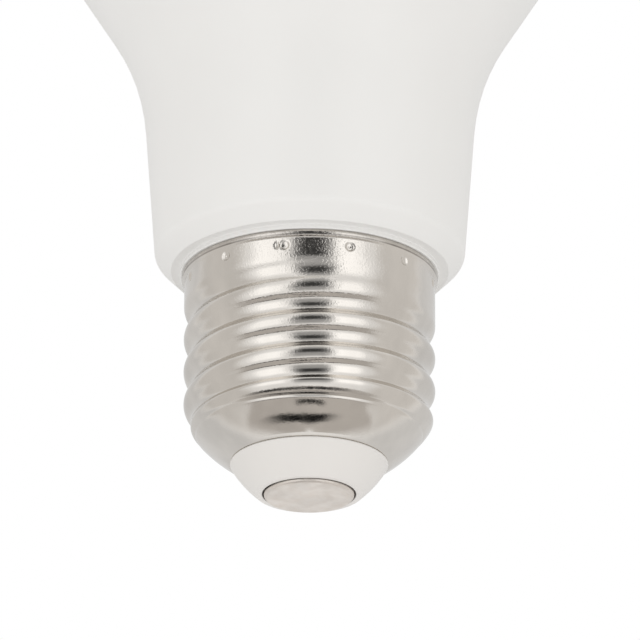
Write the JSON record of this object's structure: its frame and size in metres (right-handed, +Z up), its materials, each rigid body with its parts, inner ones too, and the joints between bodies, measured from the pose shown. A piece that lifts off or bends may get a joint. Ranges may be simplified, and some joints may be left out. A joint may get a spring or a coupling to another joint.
{
  "type": "led bulb",
  "caption": "Pear-shaped LED bulb with a white housing, a frosted dome and a rolled screw cap with an insulated centre contact.",
  "frame": {"origin": "centre of the centre contact's outer face, where the cap bottoms in its lamp holder", "axes": "+Z up the bulb's axis from the cap to the dome, -Y towards the camera's side of the picture"},
  "size_m": [0.06, 0.06, 0.108],
  "materials": {
    "housing_plastic": "smooth satin white",
    "frosted_dome": "frosted white",
    "nickel_shell": "bright nickel plate, slightly worn",
    "insulator_plastic": "smooth off-white",
    "contact_plate": "dull nickel plate"
  },
  "bodies": {
    "root": {"housing": "housing_plastic", "diffuser": "frosted_dome", "screw_shell": "nickel_shell", "insulator": "insulator_plastic", "centre_contact": "contact_plate"}
  },
  "joints": []
}
